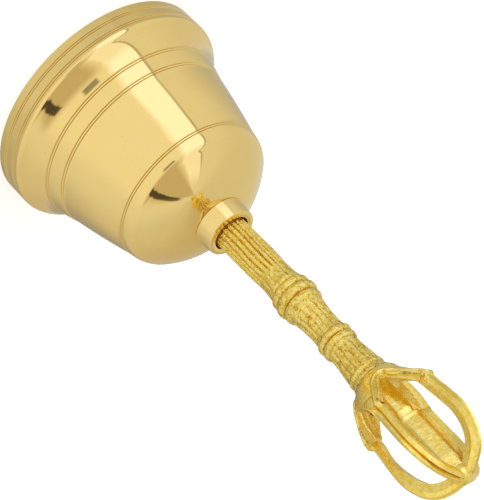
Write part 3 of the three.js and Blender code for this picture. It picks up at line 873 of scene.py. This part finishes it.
def make_spike():
    """A four-sided bar that starts with a low ledge, on a post that narrows to a neck under it."""
    ledge = SPIKE_FOOT + LEDGE_RISE
    top = CAGE_TOP - 3
    stations = [
        (2.9, CUP_FOOT + CUP_FLOOR - 0.5), (2.8, ledge - 2.4), (2.3, ledge - 0.1), (3.35, ledge),
        (3.4, ledge + 0.7), (3.25, ledge + 1.1), (3.25, ledge + 8), (3.15, top - 6), (2.9, top),
    ]
    bar = square_bar(stations, SPIKE_SOFTNESS, lambda rise: max(1, int(rise / SPIKE_ROW)))
    cast(bar, "centre_spike", SPIKE_SKIN)


def make_finial():
    """The block where the prongs run together, drawn up to a low point."""
    stations = [(half, FINIAL_FOOT + rise) for half, rise in FINIAL_STATIONS] + [(FINIAL_POINT, FINIAL_TOP)]
    cast(square_bar(stations, FINIAL_SOFTNESS, lambda rise: FINIAL_ROWS), "finial", SPIKE_SKIN)


# ---- Clapper ----
def make_ball():
    """A turned ball with a bore for the rod."""
    edge = math.acos(BALL_BORE / BALL_RADIUS)
    angles = [-edge + 2 * edge * i / BALL_ROWS for i in range(BALL_ROWS + 1)]
    profile = [(BALL_RADIUS * math.cos(a), BALL_HEIGHT + BALL_RADIUS * math.sin(a)) for a in angles]
    finished("clapper_ball_turned", spun(profile, BALL_STEPS), "clapper_brass", "clapper", "clapper_ball")


def dress_steel():
    """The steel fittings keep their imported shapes."""
    for node in STEEL_PARTS:
        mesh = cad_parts[node].data
        mesh.materials.clear()
        mesh.materials.append(MATERIALS["plated_steel"])


# ---- Stage ----
def make_floor():
    """A pale floor that doesn't show from below."""
    bm = bmesh.new()
    bmesh.ops.create_circle(bm, cap_ends=True, segments=FLOOR_STEPS, radius=FLOOR_RADIUS)
    mesh = bpy.data.meshes.new("studio_floor")
    bm.to_mesh(mesh)
    bm.free()
    floor = bpy.data.objects.new("studio_floor", mesh)
    bpy.context.scene.collection.objects.link(floor)
    floor.visible_glossy = False
    material, make = finish_named("pale_floor")
    underside = make.node("ShaderNodeNewGeometry", output="Backfacing")
    paint = make.node(
        "ShaderNodeBsdfPrincipled", None, Base_Color=FLOOR_SHADE, Roughness=FLOOR_ROUGHNESS,
        Emission_Color=WHITE, Emission_Strength=FLOOR_GLOW, Alpha=1 - underside,
    )
    make.node("ShaderNodeOutputMaterial", None, Surface=paint)
    mesh.materials.append(material)


def make_camera():
    camera = bpy.data.objects.new("camera", bpy.data.cameras.new("camera"))
    camera.data.lens = CAMERA_LENS
    camera.data.sensor_width = SENSOR
    camera.data.clip_end = CAMERA_REACH
    backwards = Vector((0, -math.cos(CAMERA_ELEVATION), math.sin(CAMERA_ELEVATION)))
    tilt = Matrix.Rotation(math.pi / 2 - CAMERA_ELEVATION, 4, "X")
    roll = Matrix.Rotation(CAMERA_ROLL, 4, "Z")
    camera.matrix_world = Matrix.Translation(CAMERA_TARGET + backwards * CAMERA_DISTANCE) @ tilt @ roll
    bpy.context.scene.collection.objects.link(camera)
    bpy.context.scene.camera = camera


def make_light():
    """A white tent: a tall cool soft box at the left, a dim warm room above the front, a dark stand and port.

    Bearings and heights are in degrees. Bearing 0 is in front of the bell, at -Y, and grows towards +X.
    """
    world = bpy.data.worlds.new("tent")
    world.use_nodes = True
    bpy.context.scene.world = world
    make = Finish(world.node_tree)
    direction = make.node("ShaderNodeTexCoord", output="Generated")
    x, y, z = make.parts(direction)
    uneven = make.speckle(direction, 7.0, 3.0) * EDGE_WANDER - EDGE_WANDER / 2
    bearing = make.node("ShaderNodeMath", {"operation": "ARCTAN2"}, x, 0.0 - y) * math.degrees(1)
    height = make.node("ShaderNodeMath", {"operation": "ARCSINE"}, z) * math.degrees(1)

    def band(value, start, end, soft):
        return make.step(value, start - soft, start + soft) * (1 - make.step(value, end - soft, end + soft))

    walls = TENT_BRIGHTNESS - TENT_FOOT_DARKER * make.step(height, -14, -26)
    for change, start, end in TENT_CHANGES:
        walls = walls + change * make.step(bearing, start, end)
    soft_box = make.step(bearing, -61.8, -60.2) * (1 - make.step(bearing + uneven, -34, -23))
    soft_box = soft_box * (1 - make.step(height, 66, 84))
    soft_box = soft_box * make.step(height, -30, -12, 0.12, 1.0) * make.step(height, 36, 18, 0.5, 1.0)
    frame_line = band(bearing, -64, -61, 0.6) * band(height, -14, 62, 8)
    room = band(bearing, -20, 60, 12) * make.step(height, 17, 35)
    past_stand = bearing - (height * 0.45 + 25.4 + uneven)
    stand = band(past_stand, -7, 6, 2) * make.step(height, 26, 30) * (1 - make.step(height, 74, 79))
    port = band(bearing, -13, 6, 2.5) * band(height, 12, 21, 2)
    brightness = walls + SOFT_BOX_BRIGHTER * soft_box - FRAME_LINE_DARKER * frame_line
    brightness = brightness - ROOM_DARKER * room - STAND_DARKER * stand - PORT_DARKER * port

    warmer = make.mixed(make.step(bearing, 95, 160), TENT_WHITE, TENT_WARM)
    warmest = make.mixed(room, warmer, ROOM_WARM)
    tint = make.mixed(soft_box, warmest, SOFT_BOX_COOL)
    sky = make.node("ShaderNodeBackground", None, Color=tint, Strength=brightness)
    backdrop = make.node("ShaderNodeBackground", None, Color=WHITE, Strength=1.0)
    seen = make.node("ShaderNodeLightPath", output="Is Camera Ray")
    both = make.node("ShaderNodeMixShader", None, seen, sky, backdrop)
    make.node("ShaderNodeOutputWorld", None, Surface=both)


make_camera()
make_floor()
make_light()
bpy.context.scene.view_settings.view_transform = "Standard"

make_bell()
make_collar()
make_stem()
make_cup()
for index, side in enumerate(("right", "back", "left", "front")):
    make_prong(side, CAGE_TURN + index * math.tau / PRONGS)
make_spike()
make_finial()
make_ball()
dress_steel()
